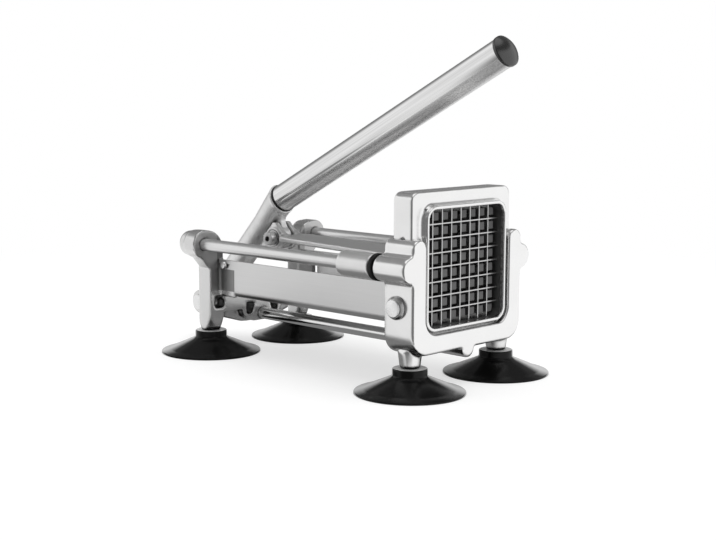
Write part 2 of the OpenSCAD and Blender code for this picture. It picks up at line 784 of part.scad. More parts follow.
module carriage_lug_outline() {
    y = plate_back - 1;
    translate(carriage_pin) circle(nose_r);
    polygon([[y, carriage_pin[1] + lug_rise], [y + 2, carriage_pin[1] + lug_rise],
             carriage_pin + [0, nose_r - 0.5], carriage_pin - [0, nose_r - 0.5],
             [y + 2, carriage_pin[1] - lug_rise], [y, carriage_pin[1] - lug_rise]]);
}

module pusher_screws() {
    color("dimgray") place() for (x = [-1, 1], z = [-1, 1])
        translate([x * pusher_hole, plate_back + face_gap / 2, grid_z + z * pusher_hole]) rotate([90, 0, 0]) {
            cylinder(h = plate_t + pusher_t - 2.5, r = 2);
            difference() {
                translate([0, 0, -3]) cylinder(h = 3, r = 3.6);
                translate([0, 0, -3 - hair]) cylinder(h = 1.8, d = 3.4, $fn = 6);
            }
        }
}

// Shoulder screws in the carriage lugs. They stop at the link's side, where its pivot is opened.
module carriage_pivot_screws() {
    x = carriage_lug_x + carriage_lug_t;
    color("silver") place() both_sides() {
        rod_along_x(pivot_d / 2, carriage_lug_x, carriage_lug_t + 1, carriage_pin);
        difference() {
            rod_along_x(5, x + face_gap, 3.2, carriage_pin);
            hex_along_x(4, x + 1.6, 4, carriage_pin);
        }
    }
}

// ---- lever ----

// Local Z points up the spine from the lever's pivot.
module on_spine(s) {
    translate([0, pivot[0], pivot[1]]) rotate([90 - spine_a, 0, 0]) translate([0, 0, s]) children();
}

// The web that carries the link bolt, below the shoulder and in front of the spine.
module lever_web_outline() {
    up = [sin(handle_a), cos(handle_a)];
    fwd = [-cos(handle_a), sin(handle_a)];
    under = shoulder - (shoulder_r - 0.8) * up - 0.8 * fwd;
    neck = bolt + [-1.5, 12.4];
    polygon(concat([shoulder - 4 * fwd], bend(under, [neck[0] - 0.9, neck[1] + 4.4], neck, 6),
        [on_circle(bolt, lug_r - 1.2, 165), on_circle(bolt, lug_r - 1.2, 285),
         pivot + 0.55 * (shoulder - pivot)]));
}

module lever_arm() {
    color("silver") place() difference() {
        union() {
            on_spine(eye_r / 2) cylinder(h = spine_l - flare_l + 6 - eye_r / 2, d = spine_d);
            hull() {
                on_spine(spine_l - flare_l) cylinder(h = 0.5, d = spine_d + 0.3);
                on_handle(-shoulder_l - 0.4) cylinder(h = 0.8, r = shoulder_r - 0.5);
            }
            on_handle(-shoulder_l) cylinder(h = shoulder_l, r = shoulder_r);
            on_handle(-1) cylinder(h = spigot_l + 1, d = tube_d - 2 * tube_wall - 2 * press);
            along_x(-web_t / 2, web_t) lever_web_outline();
            rod_along_x(lug_r, -lug_x, 2 * lug_x, bolt);
            rod_along_x(eye_r, -eye_x, 2 * eye_x, pivot);
        }
        rod_along_x(bolt_d / 2 + running, -through / 2, through, bolt);
        rod_along_x(pivot_d / 2 + running, -through / 2, through, pivot);
    }
}

module handle_ring() {
    color("black") place() on_handle(face_gap / 2) difference() {
        cylinder(h = ring_t - face_gap, r = shoulder_r + 0.1);
        translate([0, 0, -1]) cylinder(h = ring_t + 2, d = tube_d - 2 * tube_wall);
    }
}

module handle_tube() {
    color("silver") place() on_handle(ring_t) difference() {
        cylinder(h = tube_l, d = tube_d);
        translate([0, 0, -1]) cylinder(h = tube_l + 2, d = tube_d - 2 * tube_wall);
    }
}

module handle_cap() {
    color([0.12, 0.12, 0.12]) place() on_handle(ring_t + tube_l + face_gap / 2) {
        rotate_extrude() polygon(concat([[0, 0], [cap_r - 0.4, 0], [cap_r, 0.4]], cap_curve));
        translate([0, 0, -cap_plug]) cylinder(h = cap_plug + 0.5, d = tube_d - 2 * tube_wall - 2 * press);
    }
}

// ---- link ----

// An ear of the link in its own frame, where Y runs back to the carriage pivot as negative. Its rear
// stays clear of the lever's spine.
module link_ear_outline() {
    spine_n = 90 - spine_a - link_tilt;
    peak = (ear_r - ear_top * sin(spine_n)) / cos(spine_n);
    root = -ear_r - 6.5;
    circle(ear_r);
    polygon([[0, 0], on_circle([0, 0], ear_r - 0.6, 35), [peak, ear_top], [peak - 3.6, ear_top],
             on_circle([0, 0], ear_r - 0.4, 142), [root, link_up - 0.3], [root, link_up - link_t + 0.3],
             on_circle([0, 0], ear_r - 0.7, 227)]);
}

// An ear with a raised rim round the bolt's washer.
module link_ear() {
    difference() {
        union() {
            along_x(ear_x, ear_t) link_ear_outline();
            rod_along_x(ear_r - 1.2, ear_x + 1, ear_t - 1 + ear_rim, [0, 0]);
        }
        rod_along_x(washer_r + 0.4, ear_x + ear_t, 2 * ear_rim, [0, 0]);
    }
}

module link() {
    color("silver") place() on_link() difference() {
        union() {
            both_sides() link_ear();
            // the plate, cut out for the lever and wider at the carriage
            translate([0, 0, link_up - link_t]) linear_extrude(link_t) both_sides()
                polygon([[0, -link_slot], [ear_x - 0.1, -link_slot], [ear_x - 0.1, -link_slot + 3.4],
                         [ear_x + ear_t - 0.4, -link_slot + 3.4], [link_w / 2, -link_slot - 4.4],
                         [nose_x, -link_l + 8], [nose_x, -link_l], [0, -link_l]]);
            // the rib under it
            translate([-2.5, -link_l + 5, link_up - link_t - 2.6]) cube([5, link_l - link_slot - 8, 4]);
            rod_along_x(nose_r, -nose_x, 2 * nose_x, [-link_l, 0]);
        }
        rod_along_x(bolt_d / 2 + press, -through / 2, through, [0, 0]);
        rod_along_x(pivot_d / 2 + running, -through / 2, through, [-link_l, 0]);
    }
}

module link_bolt() {
    color("silver") place() difference() {
        union() {
            rod_along_x(bolt_d / 2, -bolt_seat - 1, 2 * bolt_seat + nut_t + 3, bolt);
            rod_along_x(bolt_head_r, -bolt_seat - bolt_head_h + 0.5, bolt_head_h - 0.5, bolt);
            translate([-bolt_seat - bolt_head_h + 0.6, bolt[0], bolt[1]]) rotate([0, -90, 0])
                cylinder(h = 0.6, r1 = bolt_head_r - 0.1, r2 = bolt_head_r - 0.7);
        }
        hex_along_x(4, -bolt_seat - bolt_head_h - hair, 3.2, bolt);
    }
}

module link_washers() {
    color("lightgray") place() both_sides() difference() {
        rod_along_x(washer_r, ear_x + ear_t + face_gap / 2, washer_t, bolt);
        rod_along_x(bolt_d / 2 + press, ear_x, through, bolt);
    }
}

module link_nut() {
    color("silver") place() difference() {
        union() {
            hex_along_x(10, bolt_seat, nut_t, bolt);
            rod_along_x(4.4, bolt_seat + nut_t - 0.5, 2, bolt);
        }
        rod_along_x(bolt_d / 2 + press, bolt_seat - 1, through, bolt);
    }
}

front_frame();
blade_frame();
blades_vertical();
blades_horizontal();
blade_frame_screws();
lock_screw_left();
lock_screw_right();
guide_rod_left();
guide_rod_right();
tie_rod();
rod_bumper_left();
rod_bumper_right();
trough();
trough_screws();
rear_frame();
lever_pivot_pin();
cup_front_left();
cup_front_right();
cup_rear_left();
cup_rear_right();
cup_studs();
pusher_block();
pusher_carriage();
pusher_screws();
carriage_pivot_screws();
lever_arm();
handle_ring();
handle_tube();
handle_cap();
link();
link_bolt();
link_washers();
link_nut();
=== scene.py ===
import bpy
import bmesh
import json
import math
from mathutils import Matrix, Vector

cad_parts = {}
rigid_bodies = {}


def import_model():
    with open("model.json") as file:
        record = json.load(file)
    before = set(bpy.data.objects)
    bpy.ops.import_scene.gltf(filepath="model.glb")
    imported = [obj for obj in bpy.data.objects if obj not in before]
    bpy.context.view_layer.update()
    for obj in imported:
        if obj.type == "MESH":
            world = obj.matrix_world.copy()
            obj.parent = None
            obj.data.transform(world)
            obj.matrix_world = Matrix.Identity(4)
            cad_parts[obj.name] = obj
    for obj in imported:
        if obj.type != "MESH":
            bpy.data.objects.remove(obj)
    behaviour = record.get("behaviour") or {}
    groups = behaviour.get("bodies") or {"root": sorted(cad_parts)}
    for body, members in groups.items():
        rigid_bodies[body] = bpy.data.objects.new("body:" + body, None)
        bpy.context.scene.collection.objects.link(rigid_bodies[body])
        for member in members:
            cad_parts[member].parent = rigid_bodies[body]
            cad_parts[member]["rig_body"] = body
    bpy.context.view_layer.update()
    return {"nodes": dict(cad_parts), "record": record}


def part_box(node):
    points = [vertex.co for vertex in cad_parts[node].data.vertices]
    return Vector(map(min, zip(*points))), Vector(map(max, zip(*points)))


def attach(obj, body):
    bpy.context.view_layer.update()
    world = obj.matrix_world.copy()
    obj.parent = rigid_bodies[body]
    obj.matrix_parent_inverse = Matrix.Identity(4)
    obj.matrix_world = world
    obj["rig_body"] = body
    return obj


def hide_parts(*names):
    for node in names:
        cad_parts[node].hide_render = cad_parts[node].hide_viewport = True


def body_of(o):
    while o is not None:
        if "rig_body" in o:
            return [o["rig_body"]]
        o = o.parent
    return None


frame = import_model()
nodes = frame["nodes"]
slotOf = {entry["node"]: entry["material_slot"] for entry in frame["record"]["subparts"]}
scene = bpy.context.scene
millimetres = 1000      # in a metre
print("frame loaded:", len(nodes), "nodes")

camera = {
    "place": (-0.69418, -0.68470, 0.19928),
    "azimuth": -46.10,
    "elevation": 7.772,
    "roll": 0.167,
    "lens": 68.29,
    "sensor": 36.0,
    "clip": (0.01, 50.0),
}


def backVector(azimuth, elevation):
    a, e = math.radians(azimuth), math.radians(elevation)
    return Vector((math.sin(a) * math.cos(e), -math.cos(a) * math.cos(e), math.sin(e)))


def makeCamera():
    lensData = bpy.data.cameras.new("viewCamera")
    lensData.lens = camera["lens"]
    lensData.sensor_width = camera["sensor"]
    lensData.clip_start, lensData.clip_end = camera["clip"]
    viewCamera = bpy.data.objects.new("viewCamera", lensData)
    back = backVector(camera["azimuth"], camera["elevation"])
    turn = (-back).to_track_quat("-Z", "Y").to_matrix()
    roll = Matrix.Rotation(math.radians(camera["roll"]), 3, "Z")
    viewCamera.matrix_world = Matrix.Translation(camera["place"]) @ (turn @ roll).to_4x4()
    scene.collection.objects.link(viewCamera)
    scene.camera = viewCamera


makeCamera()


def plug(tree, made, inputs):
    # each input takes another node's output or a plain value
    for key, value in inputs.items():
        if isinstance(value, bpy.types.NodeSocket):
            tree.links.new(value, made.inputs[key])
        else:
            made.inputs[key].default_value = value


def addNode(tree, kind, inputs=None, **settings):
    made = tree.nodes.new(kind)
    for key, value in settings.items():
        setattr(made, key, value)
    plug(tree, made, inputs or {})
    return made


def compute(tree, operation, *values, clamp=False):
    made = addNode(tree, "ShaderNodeMath", dict(enumerate(values)), operation=operation, use_clamp=clamp)
    return made.outputs[0]


def onVector(tree, operation, *values):
    made = addNode(tree, "ShaderNodeVectorMath", dict(enumerate(values)), operation=operation)
    return made.outputs["Value" if operation in ("LENGTH", "DISTANCE", "DOT_PRODUCT") else "Vector"]


def product(tree, first, *others):
    for other in others:
        first = compute(tree, "MULTIPLY", first, other)
    return first


def lessened(tree, mask, amount):
    # 1 where the mask is 0, and less by the amount where it is 1
    return compute(tree, "SUBTRACT", 1.0, product(tree, mask, amount))


def weakened(tree, level, share):
    # the level where the share is 1, and 1 where it is 0
    return compute(tree, "ADD", product(tree, level, share), compute(tree, "SUBTRACT", 1.0, share))


def ramp(tree, source, stops):
    made = addNode(tree, "ShaderNodeValToRGB", {0: source})
    made.color_ramp.interpolation = "EASE"
    marks = made.color_ramp.elements
    while len(marks) < len(stops):
        marks.new(0.5)
    for mark, (place, level) in zip(marks, stops):
        mark.position = place
        mark.color = grey(level)
    return made.outputs[0]


def softStep(tree, source, span, levels=(0.0, 1.0)):
    # from the first level to the second across the span
    (start, end), (before, after) = span, levels
    return ramp(tree, source, [(0.0, before), (start, before), (end, after), (1.0, after)])


def grey(level, warm=0.0):
    return (level + warm, level, level - warm, 1)


def mixShaders(tree, factor, first, second):
    return addNode(tree, "ShaderNodeMixShader", {0: factor, 1: first.outputs[0], 2: second.outputs[0]})


# Heights and edges say how a ray runs along an axis: 0 is straight against it and 1 straight along it.
studio = {
    "fill": 0.86,                   # world level for diffuse light
    "belowGrey": 0.22,              # what glossy metal sees of the floor
    "boxFoot": (0.385, 0.42),       # heights between which the soft boxes round the sides begin
    "boxTop": (0.775, 0.805),       # and end
    "gapGrey": 0.25,                # the dark gap above them
    "overheadFoot": (0.925, 0.955),     # heights between which the overhead box begins
    "overheadGrey": 1.05,
    "flagTop": (0.80, 0.88),        # heights between which the flags at the sides end
    "behindGrey": 0.24,             # beyond the object, as seen from the camera
    "behindEdge": (0.07, 0.26),
    "cameraGrey": 0.18,             # what metal sees where the camera stands
    "cameraEdge": (0.78, 0.90),
    "cameraTurn": 25.0,             # the camera's dark flag stands this far round to the left
    "leftGrey": 0.90,               # the box to the camera's left
    "leftEdge": (0.035, 0.10),
}


def alongAxis(tree, ray, axis):
    return compute(tree, "MULTIPLY_ADD", onVector(tree, "DOT_PRODUCT", ray, axis), 0.5, 0.5)


def frontFlag(tree, ray):
    # a dark flag beside the camera draws the lines along upright edges
    axis = backVector(camera["azimuth"] - studio["cameraTurn"], 0)
    return softStep(tree, alongAxis(tree, ray, axis), studio["cameraEdge"], (1.0, studio["cameraGrey"]))


def leftShade(tree, ray):
    # the box on the left is a little dimmer than the others
    back = backVector(camera["azimuth"], 0)
    axis = Vector((-back.y, back.x, 0))
    return softStep(tree, alongAxis(tree, ray, axis), studio["leftEdge"], (studio["leftGrey"], 1.0))


def behindShade(tree, ray):
    axis = backVector(camera["azimuth"], 0)
    return softStep(tree, alongAxis(tree, ray, axis), studio["behindEdge"], (studio["behindGrey"], 1.0))


def softBoxes(tree, height):
    # soft boxes round the sides and overhead, with a dark gap between them
    below, gap, overhead = studio["belowGrey"], studio["gapGrey"], studio["overheadGrey"]
    footLow, footHigh = studio["boxFoot"]
    topLow, topHigh = studio["boxTop"]
    overheadLow, overheadHigh = studio["overheadFoot"]
    return ramp(tree, height, [(0.0, below), (footLow, below), (footHigh, 1.0), (topLow, 1.0), (topHigh, gap),
                               (overheadLow, gap), (overheadHigh, overhead), (1.0, overhead)])


def makeWorld():
    world = bpy.data.worlds.new("studioWorld")
    scene.world = world
    world.cycles.sampling_method = "NONE"
    world.use_nodes = True
    tree = world.node_tree
    tree.nodes.clear()
    ray = addNode(tree, "ShaderNodeTexCoord").outputs["Generated"]
    height = alongAxis(tree, ray, (0, 0, 1))
    # the flags at the sides stand upright and leave the overhead box free
    flags = product(tree, behindShade(tree, ray), frontFlag(tree, ray), leftShade(tree, ray))
    upright = softStep(tree, height, studio["flagTop"], (1.0, 0.0))
    seen = product(tree, softBoxes(tree, height), weakened(tree, flags, upright))
    glossy = addNode(tree, "ShaderNodeBackground", {"Color": seen})
    diffuse = addNode(tree, "ShaderNodeBackground", {"Color": grey(1), "Strength": studio["fill"]})
    plain = addNode(tree, "ShaderNodeBackground", {"Color": grey(1)})
    path = addNode(tree, "ShaderNodeLightPath").outputs
    lit = mixShaders(tree, path["Is Glossy Ray"], diffuse, glossy)
    surface = mixShaders(tree, path["Is Camera Ray"], lit, plain)
    addNode(tree, "ShaderNodeOutputWorld", {"Surface": surface.outputs[0]})


makeWorld()

# a spot's edge is a pair of radii round its middle: darkest inside the first, gone beyond the second
floorPaper = {
    "size": 12.0,
    "drop": 0.0002,                 # how far the paper lies below the cups
    "grey": 0.46,
    "lift": 0.57,                   # camera-only glow that brings the lit paper to white
    "fade": (0.30, 0.75),           # radii between which it turns into plain white
    # a painted shadow below the object, as glossy metal sees the paper
    "underside": {"middle": (0.03, 0.02, 0), "edge": (0.15, 0.19), "grey": studio["belowGrey"]},
    "leftPatch": {"middle": (-0.19, 0.14, 0), "edge": (0.03, 0.09), "grey": 0.30},
    "flagFoot": (-0.06, -0.13, 0),      # the corner that the camera's flag is aimed at
    "flagEdge": (0.02, 0.04),       # how far from it the paper starts to show the flag
}


def acrossSpan(tree, distance, span):
    # 0 at the near end of the span, 1 at the far one
    start, end = span
    return compute(tree, "DIVIDE", compute(tree, "SUBTRACT", distance, start), end - start, clamp=True)


def paperForEye(tree, place, cameraRay):
    matt = addNode(tree, "ShaderNodeBsdfDiffuse", {"Color": grey(floorPaper["grey"])})
    glow = addNode(tree, "ShaderNodeEmission", {"Strength": product(tree, cameraRay, floorPaper["lift"])})
    lit = addNode(tree, "ShaderNodeAddShader", {0: matt.outputs[0], 1: glow.outputs[0]})
    # far from the object the paper is plain white to the eye, so no horizon shows
    outward = acrossSpan(tree, onVector(tree, "LENGTH", place), floorPaper["fade"])
    away = ramp(tree, outward, [(0.0, 0.0), (1.0, 1.0)])
    return mixShaders(tree, product(tree, away, cameraRay), lit, addNode(tree, "ShaderNodeEmission"))


def paperForMetalWithPaintedShadow(tree, place):
    # darker spots, a painted shadow below the object and a dark patch to its left, and the flags at the sides
    level = 1.0
    for spot in (floorPaper["underside"], floorPaper["leftPatch"]):
        away = acrossSpan(tree, onVector(tree, "DISTANCE", place, spot["middle"]), spot["edge"])
        level = product(tree, ramp(tree, away, [(0.0, spot["grey"]), (1.0, 1.0)]), level)
    aimed = onVector(tree, "SUBTRACT", place, floorPaper["flagFoot"])
    outward = onVector(tree, "NORMALIZE", aimed)
    shown = acrossSpan(tree, onVector(tree, "LENGTH", aimed), floorPaper["flagEdge"])
    level = product(tree, level, weakened(tree, frontFlag(tree, outward), shown), leftShade(tree, outward))
    return addNode(tree, "ShaderNodeEmission", {"Color": level})


def makeFloor():
    half = floorPaper["size"] / 2
    mesh = bpy.data.meshes.new("studioFloor")
    corners = [(-half, -half, 0), (half, -half, 0), (half, half, 0), (-half, half, 0)]
    mesh.from_pydata(corners, [], [(0, 1, 2, 3)])
    floor = bpy.data.objects.new("studioFloor", mesh)
    floor.location.z = -floorPaper["drop"]
    scene.collection.objects.link(floor)
    paper = bpy.data.materials.new("floorPaper")
    paper.use_nodes = True
    tree = paper.node_tree
    tree.nodes.clear()
    place = addNode(tree, "ShaderNodeNewGeometry").outputs["Position"]
    path = addNode(tree, "ShaderNodeLightPath").outputs
    surface = mixShaders(tree, path["Is Glossy Ray"], paperForEye(tree, place, path["Is Camera Ray"]),
                         paperForMetalWithPaintedShadow(tree, place))
    addNode(tree, "ShaderNodeOutputMaterial", {"Surface": surface.outputs[0]})
    mesh.materials.append(paper)


makeFloor()

overheadLamp = {"place": (0.1, -0.1, 1.3), "target": (0, 0, 0.05), "size": (1.4, 1.4), "energy": 6}


def makeOverheadLamp():
    lampData = bpy.data.lights.new("overheadLamp", "AREA")
    lampData.shape = "RECTANGLE"
    lampData.size, lampData.size_y = overheadLamp["size"]
    lampData.energy = overheadLamp["energy"]
    lamp = bpy.data.objects.new("overheadLamp", lampData)
    lamp.location = overheadLamp["place"]
    aim = Vector(overheadLamp["target"]) - Vector(overheadLamp["place"])
    lamp.rotation_euler = aim.to_track_quat("-Z", "Y").to_euler()
    lamp.visible_glossy = False
    scene.collection.objects.link(lamp)


makeOverheadLamp()
scene.view_settings.view_transform = "Standard"
print("camera and studio made")


def newGroup(name, inputs, outputs):
    # a surface effect is built once and placed in every material that shows it
    group = bpy.data.node_groups.new(name, "ShaderNodeTree")
    for label, kind, value in inputs:
        socket = group.interface.new_socket(name=label, in_out="INPUT", socket_type="NodeSocket" + kind)
        if value is not None:
            socket.default_value = value
    for label, kind in outputs:
        group.interface.new_socket(name=label, in_out="OUTPUT", socket_type="NodeSocket" + kind)
    return group, addNode(group, "NodeGroupInput").outputs


def closeGroup(group, results):
    addNode(group, "NodeGroupOutput", results)
    return group


def noise(tree, vector, scale, detail, rough=0.5):
    made = addNode(tree, "ShaderNodeTexNoise",
                   {"Vector": vector, "Scale": scale, "Detail": detail, "Roughness": rough})
    return made.outputs["Fac"]


def spread(tree, source, amount, middle=1.0):
    # a noise from 0 to 1 becomes the middle, give or take half the amount
    return compute(tree, "ADD", product(tree, compute(tree, "SUBTRACT", source, 0.5), amount), middle)


def tinted(tree, colour, factor):
    made = addNode(tree, "ShaderNodeVectorMath", {0: colour, "Scale": factor}, operation="SCALE")
    return made.outputs["Vector"]


def blended(tree, factor, first, second):
    return addNode(tree, "ShaderNodeMix", {0: factor, 6: first, 7: second}, data_type="RGBA").outputs[2]


castGrainLook = {
    "cloud": 42.0,          # scale of the clouds in the sheen
    "patch": 130.0,         # scale of the patches that have pits
    "pitted": (0.60, 0.68),     # where a patch starts to be pitted, and is in full
    "pit": 310.0,           # scale of the pits
    "pitSize": 0.10,
    "pitShade": 0.35,
    "roughSpread": 0.30,
    "fineHeight": 0.7,      # the fine grain's height against the clouds'
}


def makeCastGrain():
    # tumbled die casting: fine grain, a few pits, cloudy sheen
    look = castGrainLook
    group, given = newGroup("castGrain",
                            [("Vector", "Vector", None), ("Colour", "Color", grey(0.9)),
                             ("Grain", "Float", 1400.0), ("Mottle", "Float", 0.06), ("Rough", "Float", 0.4),
                             ("Pits", "Float", 0.5)],
                            [("Colour", "Color"), ("Roughness", "Float"), ("Height", "Float")])
    vector = given["Vector"]
    fine = noise(group, vector, given["Grain"], detail=3.0, rough=0.6)
    cloud = noise(group, vector, look["cloud"], detail=4.0, rough=0.55)
    patch = noise(group, vector, look["patch"], detail=2.0)
    pit = addNode(group, "ShaderNodeTexVoronoi", {"Vector": vector, "Scale": look["pit"]}, feature="F1")
    hole = ramp(group, pit.outputs["Distance"], [(0.0, 1.0), (look["pitSize"], 0.0), (1.0, 0.0)])
    pits = product(group, hole, softStep(group, patch, look["pitted"]), given["Pits"])
    shade = product(group, spread(group, cloud, given["Mottle"]), lessened(group, pits, look["pitShade"]))
    rough = product(group, given["Rough"], spread(group, patch, look["roughSpread"]))
    raised = compute(group, "ADD", product(group, fine, look["fineHeight"]), cloud)
    return closeGroup(group, {"Colour": tinted(group, given["Colour"], shade), "Roughness": rough,
                              "Height": compute(group, "SUBTRACT", raised, pits)})


edgeWearHighlightAndShadeLook = {
    "breaks": 160.0,            # scale of the breaks in the wear
    "breakSpread": 0.3,
    # the edge and hollow spans place the painted highlight on edges and the painted shade in hollows
    "edge": (0.515, 0.56),      # how sharp an edge starts to shine, and shines in full
    "hollow": (0.43, 0.488),    # how sharp a hollow is dark in full, and starts to be
}


def makeEdgeWearHighlightAndShade():
    # rubbed edges made brighter, partly wear and partly a painted highlight, and hollows darkened with
    # painted shade
    look = edgeWearHighlightAndShadeLook
    group, given = newGroup("edgeWearHighlightAndShade",
                            [("Vector", "Vector", None), ("Colour", "Color", grey(0.9)),
                             ("Worn Edge Highlight Colour", "Color", grey(0.98)), ("Hollow Shade Colour", "Color", grey(0.35)),
                             ("Edges", "Float", 0.6), ("Hollow Shade Amount", "Float", 0.6)],
                            [("Colour", "Color"), ("Edge", "Float")])
    point = addNode(group, "ShaderNodeNewGeometry").outputs["Pointiness"]
    breaks = noise(group, given["Vector"], look["breaks"], detail=3.0, rough=0.6)
    broken = spread(group, breaks, look["breakSpread"])
    edge = product(group, softStep(group, point, look["edge"]), given["Edges"], broken)
    hollow = product(group, softStep(group, point, look["hollow"], (1.0, 0.0)), given["Hollow Shade Amount"], broken)
    lit = blended(group, edge, given["Colour"], given["Worn Edge Highlight Colour"])
    return closeGroup(group, {"Colour": blended(group, hollow, lit, given["Hollow Shade Colour"]), "Edge": edge})


paintedCreviceShadeLook = {
    "samples": 16,
    "opens": (0.25, 0.85),      # how open a spot is where it starts to clear, and is clear
}


def makePaintedCreviceShade():
    # paints shade into crevices between pieces, so they are darker than their open faces
    group, given = newGroup("paintedCreviceShade",
                            [("Colour", "Color", grey(0.9)), ("Reach", "Float", 0.01),
                             ("Dark", "Float", 0.5)],
                            [("Colour", "Color")])
    shelter = addNode(group, "ShaderNodeAmbientOcclusion", {"Distance": given["Reach"]},
                      samples=paintedCreviceShadeLook["samples"])
    opened = softStep(group, shelter.outputs["AO"], paintedCreviceShadeLook["opens"])
    level = weakened(group, opened, compute(group, "SUBTRACT", 1.0, given["Dark"]))
    return closeGroup(group, {"Colour": tinted(group, given["Colour"], level)})


brushLook = {
    "stretch": 0.012,       # the noise is squeezed to this along the lines
    "broad": 320.0,         # scale of the broad lines
    "fineShare": 0.6,       # how much the fine lines weigh against the broad ones
    "cloud": 30.0,
    "cloudSpread": 0.05,
    "roughSpread": 0.25,
}


def makeBrushLines():
    # long fine scratches along Y, after a turn about X
    look = brushLook
    group, given = newGroup("brushLines",
                            [("Vector", "Vector", None), ("Colour", "Color", grey(0.8)),
                             ("Turn", "Float", 0.0), ("Lines", "Float", 1500.0), ("Contrast", "Float", 0.2),
                             ("Rough", "Float", 0.25)],
                            [("Colour", "Color"), ("Roughness", "Float"), ("Height", "Float")])
    turned = addNode(group, "ShaderNodeVectorRotate", {"Vector": given["Vector"], "Angle": given["Turn"]},
                     rotation_type="X_AXIS")
    drawn = onVector(group, "MULTIPLY", turned.outputs[0], (1.0, look["stretch"], 1.0))
    fine = noise(group, drawn, given["Lines"], detail=3.0, rough=0.65)
    broad = noise(group, drawn, look["broad"], detail=2.0)
    cloud = noise(group, given["Vector"], look["cloud"], detail=3.0)
    lines = compute(group, "ADD", product(group, fine, look["fineShare"]),
                    product(group, broad, 1 - look["fineShare"]))
    shade = product(group, spread(group, lines, given["Contrast"]), spread(group, cloud, look["cloudSpread"]))
    rough = product(group, given["Rough"], spread(group, lines, look["roughSpread"]))
    return closeGroup(group, {"Colour": tinted(group, given["Colour"], shade), "Roughness": rough,
                              "Height": lines})


turnedRingsLook = {"wobble": 3.0, "wobbleScale": 400.0}


def makeTurnedRings():
    # lathe rings round a centre; the axis is the one that Across leaves out
    group, given = newGroup("turnedRings",
                            [("Vector", "Vector", None), ("Centre", "Vector", None),
                             ("Across", "Vector", None), ("Spacing", "Float", 0.00035)],
                            [("Height", "Float"), ("Radius", "Float")])
    away = onVector(group, "SUBTRACT", given["Vector"], given["Centre"])
    radius = onVector(group, "LENGTH", onVector(group, "MULTIPLY", away, given["Across"]))
    turns = compute(group, "DIVIDE", product(group, radius, 2 * math.pi), given["Spacing"])
    unsteady = noise(group, given["Vector"], turnedRingsLook["wobbleScale"], detail=2.0)
    wobble = compute(group, "ADD", turns, product(group, unsteady, turnedRingsLook["wobble"]))
    return closeGroup(group, {"Height": compute(group, "SINE", wobble), "Radius": radius})


handledFilmLook = {
    "cloud": 60.0,          # scale of the smears
    "smear": (0.42, 0.66),
    "smearShare": 0.6,      # how much of the dust lies in them
    "speck": 900.0,
    "dots": (0.58, 0.72),
}


def makeHandledFilm():
    # faint dust and finger marks that dull a gloss
    look = handledFilmLook
    group, given = newGroup("handledFilm",
                            [("Vector", "Vector", None), ("Colour", "Color", grey(0.03)),
                             ("Dust Colour", "Color", grey(0.30)), ("Dust", "Float", 0.1),
                             ("Rough", "Float", 0.3), ("Marks", "Float", 0.4)],
                            [("Colour", "Color"), ("Roughness", "Float"), ("Height", "Float")])
    speck = noise(group, given["Vector"], look["speck"], detail=2.0, rough=0.7)
    cloud = noise(group, given["Vector"], look["cloud"], detail=4.0, rough=0.6)
    smear = softStep(group, cloud, look["smear"])
    dots = softStep(group, speck, look["dots"])
    dust = compute(group, "ADD", product(group, smear, look["smearShare"]), dots)
    film = compute(group, "MULTIPLY", dust, given["Dust"], clamp=True)
    marks = product(group, smear, given["Marks"], given["Rough"])
    return closeGroup(group, {"Colour": blended(group, film, given["Colour"], given["Dust Colour"]),
                              "Roughness": compute(group, "ADD", marks, given["Rough"]),
                              "Height": speck})


castGrain = makeCastGrain()
edgeWearHighlightAndShade = makeEdgeWearHighlightAndShade()
paintedCreviceShade = makePaintedCreviceShade()
brushLines = makeBrushLines()
turnedRings = makeTurnedRings()
handledFilm = makeHandledFilm()
print("shader groups made")


def newMaterial(name, sockets):
    made = bpy.data.materials.new(name)
    made.use_nodes = True
    tree = made.node_tree
    shader = tree.nodes["Principled BSDF"]
    plug(tree, shader, sockets)
    return made, tree, shader, addNode(tree, "ShaderNodeTexCoord").outputs["Object"]


def useGroup(tree, group, inputs):
    return addNode(tree, "ShaderNodeGroup", inputs, node_tree=group).outputs


def dress(tree, shader, colour, rough, height, bump, depth):
    raised = addNode(tree, "ShaderNodeBump", {"Height": height, "Strength": bump, "Distance": depth})
    plug(tree, shader, {"Base Color": colour, "Roughness": rough, "Normal": raised.outputs[0]})


# darkens a colour with painted shade in crevices, as far and as dark as the facts say
def paintedShade(tree, colour, facts):
    shade = useGroup(tree, paintedCreviceShade,
                     {"Colour": colour, "Reach": facts["reach"], "Dark": facts["paintedShade"]})
    return shade["Colour"]


def partsOf(tree, vector):
    return addNode(tree, "ShaderNodeSeparateXYZ", {0: vector}).outputs


def between(tree, value, low, high):
    # 1 where a value lies between two limits
    return product(tree, compute(tree, "GREATER_THAN", value, low), compute(tree, "LESS_THAN", value, high))


def middleOf(node):
    low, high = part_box(node)
    return [(a + b) / 2 for a, b in zip(low, high)]


# the walls of the cutting window are darkened with painted shade and made rougher
windowWallShade = {
    "half": 0.0397,         # half the width of the area that holds the walls
    "rim": 0.0030,          # how far the polished rim reaches back
    "tone": 0.30,
    "rough": 0.60,
}


def insideWindow(tree, vector):
    # the walls of the cutting window, behind the raised rim, which are darkened with painted shade
    half = windowWallShade["half"]
    middle = middleOf("pusher_block")[2]
    place = partsOf(tree, vector)
    across = between(tree, place["X"], -half, half)
    up = between(tree, place["Z"], middle - half, middle + half)
    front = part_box("blade_frame")[0][1] + windowWallShade["rim"]
    return product(tree, across, up, compute(tree, "GREATER_THAN", place["Y"], front))


